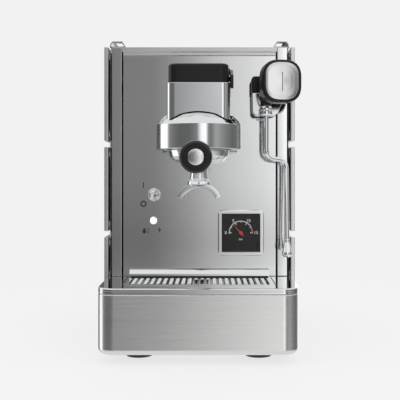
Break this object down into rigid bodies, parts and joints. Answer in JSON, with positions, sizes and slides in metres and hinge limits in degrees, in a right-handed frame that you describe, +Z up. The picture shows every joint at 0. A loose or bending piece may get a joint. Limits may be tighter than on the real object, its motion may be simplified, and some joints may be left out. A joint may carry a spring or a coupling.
{
  "type": "espresso machine",
  "caption": "Compact free-standing home espresso machine with a front brewing group, portafilter, steam wand, pressure gauge, drip tray and rear water tank.",
  "frame": {"origin": "middle of the whole footprint, handle included, on the surface the feet stand on", "axes": "+Z up, the front with the portafilter faces -Y, +X to the viewer's right"},
  "size_m": [0.25, 0.536, 0.3995],
  "materials": {
    "polished_steel": "mirror-polished stainless steel",
    "brushed_steel": "brushed stainless steel, fine grain",
    "sheet_steel": "plain stainless sheet, dull mill finish",
    "chrome": "chrome plate over brass or steel",
    "black_plastic": "black moulded plastic, satin",
    "dial_black": "matt black dial and case",
    "rubber": "black rubber",
    "clear_plastic": "clear moulded plastic, slightly smoky",
    "hose_silicone": "milky silicone hose",
    "gauge_glass": "flat clear glass",
    "lamp_lens": "frosted lens, lit warm white",
    "needle_red": "thin red-painted pointer",
    "brass": "turned and stamped brass",
    "copper": "bare copper tube",
    "grey_plastic": "grey moulded plastic"
  },
  "bodies": {
    "shell": {"base_housing": "brushed_steel", "front_left_foot": "rubber", "front_right_foot": "rubber", "rear_left_foot": "rubber", "rear_right_foot": "rubber", "chassis": "sheet_steel", "front_panel": "polished_steel", "left_pillar": "polished_steel", "right_pillar": "polished_steel", "left_side_wall": "sheet_steel", "right_side_wall": "sheet_steel", "top_cover": "brushed_steel", "rear_panel": "sheet_steel", "left_cup_rail": "polished_steel", "right_cup_rail": "polished_steel", "group_bell": "chrome", "group_block": "chrome", "group_cap": "black_plastic", "group_gasket": "rubber", "shower_screen": "brushed_steel", "toggle_switch": "chrome", "indicator_lamp": "lamp_lens", "gauge_bezel": "chrome", "gauge_body": "dial_black", "gauge_glass": "gauge_glass", "steam_valve": "chrome", "boiler": "brass", "heating_element": "brass", "safety_valve": "brass", "pump": "grey_plastic", "solenoid_valve": "brass", "control_box": "black_plastic", "mains_inlet": "black_plastic", "feed_pipe": "copper", "steam_pipe": "copper", "suction_hose": "hose_silicone"},
    "drip_tray": {"drip_tray": "polished_steel"},
    "drip_grid": {"drip_grid": "polished_steel"},
    "cup_tray": {"cup_tray": "polished_steel"},
    "water_tank": {"water_tank": "clear_plastic"},
    "tank_lid": {"tank_lid": "brushed_steel"},
    "left_lower_plate": {"left_lower_side_plate": "brushed_steel"},
    "left_middle_plate": {"left_middle_side_plate": "brushed_steel"},
    "left_upper_plate": {"left_upper_side_plate": "brushed_steel"},
    "right_lower_plate": {"right_lower_side_plate": "brushed_steel"},
    "right_middle_plate": {"right_middle_side_plate": "brushed_steel"},
    "right_upper_plate": {"right_upper_side_plate": "brushed_steel"},
    "portafilter": {"portafilter_body": "chrome", "filter_basket": "brushed_steel", "portafilter_spout": "chrome", "portafilter_handle": "black_plastic", "handle_end_disc": "brushed_steel"},
    "brew_lever": {"brew_lever": "black_plastic"},
    "toggle_bat": {"toggle_bat": "chrome"},
    "gauge_needle": {"gauge_needle": "needle_red"},
    "steam_knob": {"steam_knob": "black_plastic", "steam_knob_face": "brushed_steel"},
    "wand_nut": {"wand_nut": "chrome"},
    "steam_wand": {"steam_wand": "chrome", "wand_tip": "chrome"}
  },
  "joints": [
    {"name": "portafilter_turn", "type": "hinge", "parent": "shell", "child": "portafilter", "pos_m": [0, -0.06, 0.25], "axis": [0, 0, 1], "range_deg": [-45, 0]},
    {"name": "brew_lever_lift", "type": "hinge", "parent": "shell", "child": "brew_lever", "pos_m": [0.0382, -0.058, 0.342], "axis": [1, 0, 0], "range_deg": [-30, 0]},
    {"name": "power_toggle", "type": "hinge", "parent": "shell", "child": "toggle_bat", "pos_m": [-0.0595, -0.002, 0.1973], "axis": [1, 0, 0], "range_deg": [0, 24]},
    {"name": "gauge_needle_swing", "type": "hinge", "parent": "shell", "child": "gauge_needle", "pos_m": [0.0544, -0.00415, 0.1472], "axis": [0, 1, 0], "range_deg": [-48, 132]},
    {"name": "steam_knob_turn", "type": "hinge", "parent": "shell", "child": "steam_knob", "pos_m": [0.101, -0.088, 0.3362], "axis": [0.1219, -0.9925, 0], "range_deg": [0, 270]},
    {"name": "wand_swivel", "type": "hinge", "parent": "shell", "child": "wand_nut", "pos_m": [0.0845, -0.044, 0.303], "axis": [0, 0, 1], "range_deg": [-80, 25]},
    {"name": "wand_tilt", "type": "hinge", "parent": "wand_nut", "child": "steam_wand", "pos_m": [0.0845, -0.044, 0.303], "axis": [1, 0, 0], "range_deg": [-18, 0]},
    {"name": "drip_tray_lift", "type": "slide", "parent": "shell", "child": "drip_tray", "axis": [0, 0, 1], "range_m": [0, 0.026]},
    {"name": "drip_grid_lift", "type": "slide", "parent": "drip_tray", "child": "drip_grid", "axis": [0, 0, 1], "range_m": [0, 0.06]},
    {"name": "cup_tray_lift", "type": "slide", "parent": "shell", "child": "cup_tray", "axis": [0, 0, 1], "range_m": [0, 0.05]},
    {"name": "tank_lift", "type": "slide", "parent": "shell", "child": "water_tank", "axis": [0, 0, 1], "range_m": [0, 0.24]},
    {"name": "tank_lid_lift", "type": "slide", "parent": "water_tank", "child": "tank_lid", "axis": [0, 0, 1], "range_m": [0, 0.05]},
    {"name": "left_lower_plate_pull", "type": "slide", "parent": "shell", "child": "left_lower_plate", "axis": [-1, 0, 0], "range_m": [0, 0.04]},
    {"name": "left_middle_plate_pull", "type": "slide", "parent": "shell", "child": "left_middle_plate", "axis": [-1, 0, 0], "range_m": [0, 0.04]},
    {"name": "left_upper_plate_pull", "type": "slide", "parent": "shell", "child": "left_upper_plate", "axis": [-1, 0, 0], "range_m": [0, 0.04]},
    {"name": "right_lower_plate_pull", "type": "slide", "parent": "shell", "child": "right_lower_plate", "axis": [1, 0, 0], "range_m": [0, 0.04]},
    {"name": "right_middle_plate_pull", "type": "slide", "parent": "shell", "child": "right_middle_plate", "axis": [1, 0, 0], "range_m": [0, 0.04]},
    {"name": "right_upper_plate_pull", "type": "slide", "parent": "shell", "child": "right_upper_plate", "axis": [1, 0, 0], "range_m": [0, 0.04]}
  ]
}
